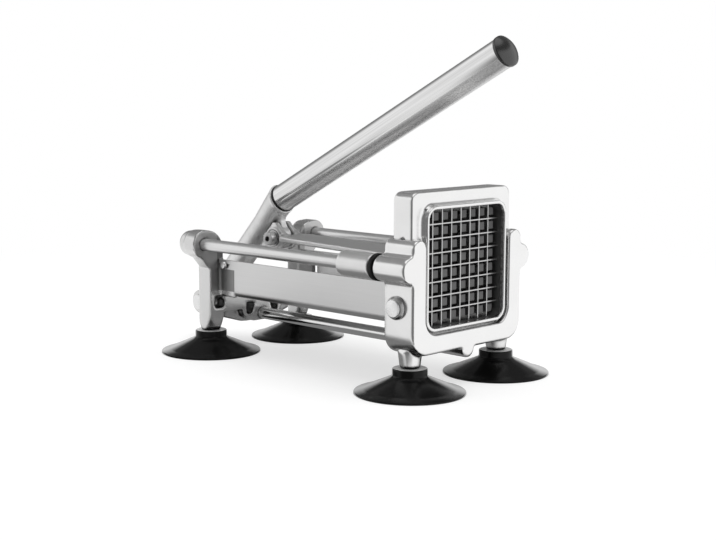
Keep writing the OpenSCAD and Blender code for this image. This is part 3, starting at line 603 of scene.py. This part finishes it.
# the rear frame's inner faces are darkened with painted shade and made rougher
rearPaintedShade = {
    "from": 0.047,          # height above which the faces get painted shade
    "cheekGap": 0.001,      # between the trough and the cheeks beside it
    "facing": -0.75,        # how straight a face looks to the front to count as one
    "front": 0.4,           # how much painted shade the fronts get against the cheeks
    "tone": 0.50,
    "rough": 0.42,
}


def rearPaintedShadeMask(tree, vector):
    # painted shade on the rear frame's faces towards the food: its cheeks and the fronts of its posts and
    # heads
    place = partsOf(tree, vector)
    normal = partsOf(tree, addNode(tree, "ShaderNodeTexCoord").outputs["Normal"])
    forward = compute(tree, "LESS_THAN", normal["Y"], rearPaintedShade["facing"])
    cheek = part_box("trough")[1][0] + rearPaintedShade["cheekGap"]
    inner = between(tree, place["X"], -cheek, cheek)
    either = compute(tree, "MAXIMUM", product(tree, forward, rearPaintedShade["front"]), inner)
    return product(tree, either, compute(tree, "GREATER_THAN", place["Z"], rearPaintedShade["from"]))


# the areas of two castings that get painted shade
paintedShadeAreas = {"cast_blade_frame": (insideWindow, windowWallShade), "cast_rear": (rearPaintedShadeMask, rearPaintedShade)}

# edge is the tone of a worn edge with its painted highlight, hollow the tone of the painted shade in hollows
castAlloy = {
    # each casting's last two facts set the painted shade in its crevices: how far it reaches and how dark it
    # gets
    "cast_front": {"tone": 0.91, "edge": 0.98, "hollow": 0.55, "rough": 0.24, "grain": 1500, "bump": 0.06,
                   "reach": 0.008, "paintedShade": 0.75},
    "cast_blade_frame": {"tone": 0.90, "edge": 0.98, "hollow": 0.50, "rough": 0.24, "grain": 1500,
                         "bump": 0.06, "reach": 0.006, "paintedShade": 0.80},
    "cast_rear": {"tone": 0.72, "edge": 0.97, "hollow": 0.32, "rough": 0.24, "grain": 1400, "bump": 0.08,
                  "reach": 0.014, "paintedShade": 0.55},
    "cast_carriage": {"tone": 0.88, "edge": 0.95, "hollow": 0.30, "rough": 0.36, "grain": 1300, "bump": 0.08,
                      "reach": 0.010, "paintedShade": 0.40},
    "cast_lever": {"tone": 0.90, "edge": 0.95, "hollow": 0.40, "rough": 0.50, "grain": 1100, "bump": 0.02,
                   "reach": 0.010, "paintedShade": 0.65},
    "cast_link": {"tone": 0.78, "edge": 0.93, "hollow": 0.30, "rough": 0.36, "grain": 1200, "bump": 0.01,
                  "reach": 0.010, "paintedShade": 0.60},
}
castSurface = {
    "warm": 0.002,
    "mottle": 0.07,
    "pits": 0.5,
    # how much the worn edges' painted highlight and the hollows' painted shade show
    "edges": 0.25,
    "hollows": 0.6,
    "edgePolish": 0.10,     # how much smoother a rubbed edge is
    "depth": 0.00012,       # of the grain
}


def makeCast(name, facts):
    made, tree, shader, vector = newMaterial(name, {"Metallic": 1.0})
    grain = useGroup(tree, castGrain, {"Vector": vector, "Colour": grey(facts["tone"], castSurface["warm"]),
                                       "Grain": facts["grain"], "Mottle": castSurface["mottle"],
                                       "Rough": facts["rough"], "Pits": castSurface["pits"]})
    # worn edges get a painted highlight, and hollows painted shade
    wearAndLight = useGroup(tree, edgeWearHighlightAndShade, {"Vector": vector, "Colour": grain["Colour"],
                                     "Worn Edge Highlight Colour": grey(facts["edge"]),
                                     "Hollow Shade Colour": grey(facts["hollow"]),
                                     "Edges": castSurface["edges"], "Hollow Shade Amount": castSurface["hollows"]})
    # crevices get painted shade
    colour = paintedShade(tree, wearAndLight["Colour"], facts)
    polished = product(tree, wearAndLight["Edge"], castSurface["edgePolish"])
    rough = compute(tree, "SUBTRACT", grain["Roughness"], polished)
    # some areas are darkened with painted shade and made rougher
    if name in paintedShadeAreas:
        area, shadeFacts = paintedShadeAreas[name]
        mask = area(tree, vector)
        colour = tinted(tree, colour, lessened(tree, mask, 1 - shadeFacts["tone"]))
        touched = compute(tree, "GREATER_THAN", mask, 0.0)
        rough = compute(tree, "MAXIMUM", rough, product(tree, touched, shadeFacts["rough"]))
    dress(tree, shader, colour, rough, grain["Height"], facts["bump"], castSurface["depth"])
    return made


drawnSteel = {
    "brushed_tube": {"tone": 0.80, "turn": 27.0, "lines": 420, "contrast": 1.1, "rough": 0.09, "bump": 0.01,
                     "underRough": 0.36},
    "polished_rod": {"tone": 0.86, "turn": 0.0, "lines": 1200, "contrast": 0.06, "rough": 0.13, "bump": 0.02},
    "satin_rod": {"tone": 0.84, "turn": 0.0, "lines": 1200, "contrast": 0.06, "rough": 0.32, "bump": 0.02},
    "trough_sheet": {"tone": 0.75, "turn": 0.0, "lines": 1500, "contrast": 0.14, "rough": 0.34, "bump": 0.06},
    "blade_steel": {"tone": 0.60, "turn": 0.0, "lines": 1900, "contrast": 0.12, "rough": 0.28, "bump": 0.05},
}
drawnSurface = {"warm": 0.001, "depth": 0.00005, "underside": (0.25, 0.29)}


def facingDown(tree, slope):
    # 1 on the underside of a tube that slopes by this much
    normal = addNode(tree, "ShaderNodeTexCoord").outputs["Normal"]
    upward = Vector((0, math.sin(math.radians(slope)), math.cos(math.radians(slope))))
    return softStep(tree, alongAxis(tree, normal, upward), drawnSurface["underside"], (1.0, 0.0))


def makeDrawn(name, facts):
    made, tree, shader, vector = newMaterial(name, {"Metallic": 1.0})
    lines = useGroup(tree, brushLines, {"Vector": vector, "Colour": grey(facts["tone"], drawnSurface["warm"]),
                                        "Turn": math.radians(facts["turn"]), "Lines": facts["lines"],
                                        "Contrast": facts["contrast"], "Rough": facts["rough"]})
    rough = lines["Roughness"]
    if "underRough" in facts:
        under = product(tree, facingDown(tree, facts["turn"]), facts["underRough"])
        rough = compute(tree, "MAXIMUM", rough, under)
    dress(tree, shader, lines["Colour"], rough, lines["Height"], facts["bump"], drawnSurface["depth"])
    return made


# a head's flank starts at the radius faceEdge, and its tone is the flank's share of the face's
# each piece's last two facts set the painted shade in its crevices: how far it reaches and how dark it gets
turnedSteel = {
    "turned_screw": {"tone": 0.96, "rough": 0.27, "bump": 0.10, "centre": (0, 0, 0), "across": (1, 1, 0),
                     "spacing": 0.00040, "faceEdge": 0.0058, "flank": 0.60, "reach": 0.003, "paintedShade": 1.0},
    "steel_screw": {"tone": 0.92, "rough": 0.24, "bump": 0.06, "centre": middleOf("link_bolt"),
                    "across": (0, 1, 1), "spacing": 0.00035, "faceEdge": 0.02, "flank": 1.0, "reach": 0.004,
                    "paintedShade": 0.15},
    "dark_screw": {"tone": 0.40, "rough": 0.36, "bump": 0.05, "centre": middleOf("blade_frame_screws"),
                   "across": (0, 1, 1), "spacing": 0.00030, "faceEdge": 0.2, "flank": 1.0, "reach": 0.003,
                   "paintedShade": 0.5},
}
turnedSurface = {"dust": 0.25, "dustTone": 0.6, "marks": 0.5, "depth": 0.00004}


def makeTurned(name, facts):
    made, tree, shader, vector = newMaterial(name, {"Metallic": 1.0})
    rings = useGroup(tree, turnedRings, {"Vector": vector, "Centre": facts["centre"],
                                         "Across": facts["across"], "Spacing": facts["spacing"]})
    film = useGroup(tree, handledFilm, {"Vector": vector, "Colour": grey(facts["tone"]),
                                        "Dust Colour": grey(facts["tone"] * turnedSurface["dustTone"]),
                                        "Dust": turnedSurface["dust"], "Rough": facts["rough"],
                                        "Marks": turnedSurface["marks"]})
    # the flank of a head is darker than its turned face
    outside = compute(tree, "GREATER_THAN", rings["Radius"], facts["faceEdge"])
    colour = tinted(tree, film["Colour"], lessened(tree, outside, 1 - facts["flank"]))
    # crevices get painted shade
    dress(tree, shader, paintedShade(tree, colour, facts), film["Roughness"], rings["Height"], facts["bump"],
          turnedSurface["depth"])
    return made


# the cup rubber's last fact is the grey of its painted sheen
mouldedBlack = {
    "cup_rubber": {"tone": 0.003, "dust": 0.01, "rough": 0.20, "marks": 0.3, "bump": 0.02, "shine": 0.20,
                   "ior": 1.5, "sheen": 0.72},
    "bumper_rubber": {"tone": 0.006, "dust": 0.04, "rough": 0.35, "marks": 0.4, "bump": 0.10, "shine": 0.25,
                      "ior": 1.5},
    "pusher_plastic": {"tone": 0.16, "dust": 0.18, "rough": 0.50, "marks": 0.3, "bump": 0.16, "shine": 0.30,
                       "ior": 1.5},
    "ring_plastic": {"tone": 0.006, "dust": 0.03, "rough": 0.30, "marks": 0.4, "bump": 0.05, "shine": 0.30,
                     "ior": 1.5},
    "cap_plastic": {"tone": 0.003, "dust": 0.01, "rough": 0.26, "marks": 0.2, "bump": 0.02, "shine": 0.50,
                    "ior": 1.85},
}
# the painted sheen comes in across these facing values
mouldedSurface = {"depth": 0.00008, "sheenEdge": (0.63, 0.83)}


def makeMoulded(name, facts):
    shine = {"Specular IOR Level": facts["shine"], "IOR": facts["ior"]}
    made, tree, shader, vector = newMaterial(name, shine)
    film = useGroup(tree, handledFilm, {"Vector": vector, "Colour": grey(facts["tone"]),
                                        "Dust": facts["dust"], "Rough": facts["rough"],
                                        "Marks": facts["marks"]})
    colour = film["Colour"]
    if "sheen" in facts:
        # painted sheen: rubber that is seen along its surface turns pale, standing in for its reflection
        glance = addNode(tree, "ShaderNodeLayerWeight", {"Blend": 0.5}).outputs["Facing"]
        paintedSheenMask = softStep(tree, glance, mouldedSurface["sheenEdge"])
        colour = blended(tree, paintedSheenMask, colour, grey(facts["sheen"]))
    dress(tree, shader, colour, film["Roughness"], film["Height"], facts["bump"], mouldedSurface["depth"])
    return made


finishes = {}
for family, make in ((castAlloy, makeCast), (drawnSteel, makeDrawn), (turnedSteel, makeTurned),
                     (mouldedBlack, makeMoulded)):
    for name, facts in family.items():
        finishes[name] = make(name, facts)
for name, piece in nodes.items():
    piece.data.materials.clear()
    piece.data.materials.append(finishes[slotOf[name]])
for name in ("guide_rod_left", "guide_rod_right"):      # the guide rods are satin, other rods polished
    nodes[name].data.materials[0] = finishes["satin_rod"]
print("materials made:", len(finishes))

# a casting's skin is made of voxels of this size and smoothed this often
castings = {
    "front_frame": {"voxel": 0.0007, "passes": 22},
    "blade_frame": {"voxel": 0.0007, "passes": 8, "outerPasses": 18},
    "rear_frame": {"voxel": 0.0007, "passes": 12},
    "pusher_carriage": {"voxel": 0.0007, "passes": 6},
    "lever_arm": {"voxel": 0.0006, "passes": 12},
    "link": {"voxel": 0.0006, "passes": 14},
}
castingMesh = {
    "smoothing": 0.5,
    "rimWidth": 0.0085,     # from the finger block's side to where the blade frame is rounded more
    "keptFaces": 0.30,
    "normalWeight": 50,
}


def applyModifiers(piece):
    depsgraph = bpy.context.evaluated_depsgraph_get()
    depsgraph.update()
    mesh = bpy.data.meshes.new_from_object(piece.evaluated_get(depsgraph))
    piece.modifiers.clear()
    piece.data = mesh


def placePiece(piece, node):
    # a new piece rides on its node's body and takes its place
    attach(piece, body_of(nodes[node])[0])
    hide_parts(node)


def soften(piece, passes, group=""):
    smoother = piece.modifiers.new("soften", "SMOOTH")
    smoother.factor = castingMesh["smoothing"]
    smoother.iterations = passes
    smoother.vertex_group = group


def markOutside(piece):
    # the points of the blade frame that lie outside its window's rim
    low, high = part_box("pusher_block")
    half = (high[0] - low[0]) / 2 + castingMesh["rimWidth"]
    middle = middleOf("pusher_block")[2]
    group = piece.vertex_groups.new(name="outside")
    picked = [v.index for v in piece.data.vertices if max(abs(v.co.x), abs(v.co.z - middle)) > half]
    group.add(picked, 1.0, "REPLACE")
    return group.name


def roundCasting(node, voxel, passes, outerPasses=0):
    piece = bpy.data.objects.new(node + "_casting", nodes[node].data.copy())
    scene.collection.objects.link(piece)
    skin = piece.modifiers.new("skin", "REMESH")
    skin.mode = "VOXEL"
    skin.voxel_size = voxel
    skin.use_smooth_shade = True
    applyModifiers(piece)
    if outerPasses:
        soften(piece, outerPasses, markOutside(piece))
    soften(piece, passes)
    thin = piece.modifiers.new("thin", "DECIMATE")
    thin.ratio = castingMesh["keptFaces"]
    even = piece.modifiers.new("even", "WEIGHTED_NORMAL")
    even.weight = castingMesh["normalWeight"]
    applyModifiers(piece)
    placePiece(piece, node)
    return piece


for node, shape in castings.items():
    piece = roundCasting(node, **shape)
    print("casting", node, len(piece.data.polygons))


def meshPiece(name, bm, place, finish):
    mesh = bpy.data.meshes.new(name)
    bm.to_mesh(mesh)
    bm.free()
    mesh.materials.append(finishes[finish])
    piece = bpy.data.objects.new(name, mesh)
    piece.location = place
    scene.collection.objects.link(piece)
    return piece


weldDistance = 1e-7


def lathe(profile, steps, axis="Z"):
    # spins a closed or axis-ended line of (radius, height) in millimetres
    bm = bmesh.new()
    rings = []
    for radius, height in profile:
        ring = []
        for step in range(steps if radius > weldDistance else 1):
            turn = 2 * math.pi * step / steps
            across, up = radius / millimetres, height / millimetres
            a, b = across * math.cos(turn), across * math.sin(turn)
            ring.append(bm.verts.new((a, b, up) if axis == "Z" else (a, up, b)))
        rings.append(ring)
    for low, high in zip(rings, rings[1:]):
        for step in range(steps):
            corners = [low[step % len(low)], low[(step + 1) % len(low)], high[(step + 1) % len(high)],
                       high[step % len(high)]]
            corners = list(dict.fromkeys(corners))
            if len(corners) > 2:
                bm.faces.new(corners)
    bmesh.ops.remove_doubles(bm, verts=bm.verts, dist=weldDistance)
    bmesh.ops.recalc_face_normals(bm, faces=bm.faces)
    for face in bm.faces:
        face.smooth = True
    return bm


def roundedLine(points, radius, steps=5, share=0.45):
    # rounds the corners of a line of (radius, height) points, over at most a share of each side
    line = [points[0]]
    for before, corner, after in zip(points, points[1:], points[2:]):
        middle = Vector(corner)
        a, b = Vector(before) - middle, Vector(after) - middle
        cut = min(radius, a.length * share, b.length * share)
        start, end = middle + a.normalized() * cut, middle + b.normalized() * cut
        for step in range(steps + 1):
            t = step / steps
            line.append(tuple((1 - t) ** 2 * start + 2 * t * (1 - t) * middle + t * t * end))
    return line + [points[-1]]


def ringLine(inner, outer, low, high, rounding):
    # the closed line round a ring's section
    section = [(inner, low), (outer, low), (outer, high), (inner, high)]
    return roundedLine(section + section[:2], rounding)[1:]


# outlines are (radius, height) in millimetres, from the stud down to the rim and from there up to the middle
suctionCup = {
    "outside": [(2.0, 16.5), (11.75, 16.55), (11.75, 11.6), (13.6, 10.5), (31.0, 3.1), (36.9, 1.35),
                (36.9, 0.02)],
    "outsideRounding": 0.9,
    "inside": [(34.6, 0.02), (33.8, 0.5), (24.0, 3.0), (12.0, 5.2), (0.0, 5.9)],
    "insideRounding": 1.0,
    "steps": 144,
}


def makeCups():
    outside = roundedLine(suctionCup["outside"], suctionCup["outsideRounding"])
    rim = suctionCup["outside"][-1]
    inside = roundedLine([rim] + suctionCup["inside"], suctionCup["insideRounding"])[1:]
    for node in ("cup_front_left", "cup_front_right", "cup_rear_left", "cup_rear_right"):
        x, y, _ = middleOf(node)
        bm = lathe(outside + inside, suctionCup["steps"])
        cup = meshPiece(node + "_moulded", bm, (x, y, 0), "cup_rubber")
        placePiece(cup, node)


rodBumper = {"bore": 4.6, "outside": 9.05, "width": 3.8, "rounding": 1.0, "steps": 72}


def makeBumpers():
    facts = rodBumper
    line = ringLine(facts["bore"], facts["outside"], 0.0, facts["width"], facts["rounding"])
    for node in ("rod_bumper_left", "rod_bumper_right"):
        x, _, z = middleOf(node)
        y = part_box(node)[0][1]
        bm = lathe(line, facts["steps"], "Y")
        ring = meshPiece(node + "_moulded", bm, (x, y, z), "bumper_rubber")
        placePiece(ring, node)


# the head's outline runs from its flat top down to its seat
lockScrew = {
    "headHeight": 4.2,
    "head": [(5.7, 4.2), (5.8, 3.5), (6.4, 3.3), (7.75, 1.4), (7.75, 0.0)],
    "shank": 3.0,
    "shankLength": 11.0,
    "rounding": 0.4,
    "steps": 72,
}


def makeLockScrews():
    facts = lockScrew
    shank, foot = facts["shank"], -facts["shankLength"]
    profile = [(0.0, facts["headHeight"])] + facts["head"] + [(shank, 0.0), (shank, foot), (0.0, foot)]
    line = roundedLine(profile, facts["rounding"], 3)
    for node, side in (("lock_screw_left", -1), ("lock_screw_right", 1)):
        low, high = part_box(node)
        _, y, z = middleOf(node)
        x = (low[0] if side < 0 else high[0]) - side * facts["headHeight"] / millimetres
        screw = meshPiece(node + "_turned", lathe(line, facts["steps"]), (x, y, z), "turned_screw")
        screw.rotation_euler = (0, side * math.pi / 2, 0)
        placePiece(screw, node)


handleEnds = {
    "slope": 27.0,
    "ringWall": 2.0,
    "ringLip": 0.45,        # how far the ring stands out past the tube
    "ringWidth": 1.7,
    "skirt": 2.2,
    "dome": 4.2,
    "domeSteps": 16,
    "plugLength": 13.0,
    "tubeWall": 1.7,
    "rounding": 0.4,
    "steps": 96,
}


def radiusOf(node):
    low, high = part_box(node)
    return (high[0] - low[0]) / 2 * millimetres


def makeHandleEnds():
    facts = handleEnds
    slope = math.radians(90 - facts["slope"])
    tube, half = radiusOf("handle_tube"), facts["ringWidth"] / 2
    line = ringLine(tube - facts["ringWall"], tube + facts["ringLip"], -half, half, facts["rounding"])
    bm = lathe(line, facts["steps"])
    seal = meshPiece("handle_ring_moulded", bm, middleOf("handle_ring"), "ring_plastic")
    seal.rotation_euler = (slope, 0, 0)
    placePiece(seal, "handle_ring")
    radius, steps = radiusOf("handle_cap"), facts["domeSteps"]
    bow = (radius * radius + facts["dome"] ** 2) / (2 * facts["dome"])
    reach = math.asin(radius / bow)
    top = facts["skirt"] + facts["dome"]
    dome = [(bow * math.sin(reach * k / steps), top - bow + bow * math.cos(reach * k / steps))
            for k in range(steps + 1)]
    plug, foot = tube - facts["tubeWall"], -facts["plugLength"]
    line = roundedLine(dome + [(radius, 0.0), (plug, 0.0), (plug, foot), (0.0, foot)], facts["rounding"], 4)
    # the cap's foremost point along the handle fixes where it sits
    up = Vector((0, -math.sin(slope), math.cos(slope)))
    tip = max(spot.co.dot(up) for spot in nodes["handle_cap"].data.vertices)
    middle = Vector(middleOf("handle_tube"))
    seat = middle + up * (tip - top / millimetres - middle.dot(up))
    cap = meshPiece("handle_cap_moulded", lathe(line, facts["steps"]), seat, "cap_plastic")
    cap.rotation_euler = (slope, 0, 0)
    placePiece(cap, "handle_cap")


makeCups()
makeBumpers()
makeLockScrews()
makeHandleEnds()
print("cups, bumpers, lock screws and handle ends made")

fingerBlock = {
    "cells": 8,
    "pitch": 9.525,
    "finger": 5.6,
    "taper": 0.12,          # how much a finger narrows at its tip, on each side
    "length": 12.0,
    "seat": 0.4,            # how deep a finger stands in the plate
    "plate": 6.0,
    "plateRounding": 4.6,
    "cornerRounding": 1.9,      # of the four outermost fingers
    "tip": 0.9,             # how far the tips sit behind the solid's
    "chamfer": 0.35,
    "chamferAngle": 40.0,
}


def squareOutline(half, rounding, steps, chosen):
    # a square whose chosen corners are rounded
    points = []
    for sx, sz in ((1, 1), (-1, 1), (-1, -1), (1, -1)):
        if (sx, sz) not in chosen:
            points.append((sx * half, sz * half))
            continue
        for step in range(steps + 1):
            turn = math.radians(90 * step / steps)
            a, b = rounding * math.cos(turn), rounding * math.sin(turn)
            along, up = (a, b) if sx * sz > 0 else (b, a)
            points.append((sx * (half - rounding + along), sz * (half - rounding + up)))
    return points


def addPrism(bm, outline, front, back, shrink=0.0, centre=(0, 0)):
    # its front end is smaller by the shrink on each side
    rings = []
    for y, inset in ((front, shrink), (back, 0.0)):
        ring = []
        for x, z in outline:
            size = max(abs(x), abs(z))
            k = (size - inset) / size
            spot = (centre[0] + x * k, y, centre[1] + z * k)
            ring.append(bm.verts.new([value / millimetres for value in spot]))
        rings.append(ring)
    for step in range(len(outline)):
        after = (step + 1) % len(outline)
        bm.faces.new((rings[0][step], rings[0][after], rings[1][after], rings[1][step]))
    bm.faces.new(rings[0])
    bm.faces.new(rings[1][::-1])


def makeFingerBlock():
    facts = fingerBlock
    bm = bmesh.new()
    last = facts["cells"] - 1
    for i in range(facts["cells"]):
        for k in range(facts["cells"]):
            centre = ((i - last / 2) * facts["pitch"], (k - last / 2) * facts["pitch"])
            outermost = [(1 if i else -1, 1 if k else -1)] if i in (0, last) and k in (0, last) else []
            outline = squareOutline(facts["finger"] / 2, facts["cornerRounding"], 4, outermost)
            addPrism(bm, outline, facts["tip"], facts["length"] + facts["seat"], facts["taper"], centre)
    everyCorner = [(1, 1), (-1, 1), (-1, -1), (1, -1)]
    plate = squareOutline(radiusOf("pusher_block"), facts["plateRounding"], 6, everyCorner)
    addPrism(bm, plate, facts["length"], facts["length"] + facts["plate"])
    bmesh.ops.recalc_face_normals(bm, faces=bm.faces)
    x, _, z = middleOf("pusher_block")
    block = meshPiece("finger_block_moulded", bm, (x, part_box("pusher_block")[0][1], z), "pusher_plastic")
    chamfer = block.modifiers.new("chamfer", "BEVEL")
    chamfer.width = facts["chamfer"] / millimetres
    chamfer.segments = 2
    chamfer.limit_method = "ANGLE"
    chamfer.angle_limit = math.radians(facts["chamferAngle"])
    chamfer.harden_normals = True
    applyModifiers(block)
    placePiece(block, "pusher_block")


makeFingerBlock()
print("finger block made")
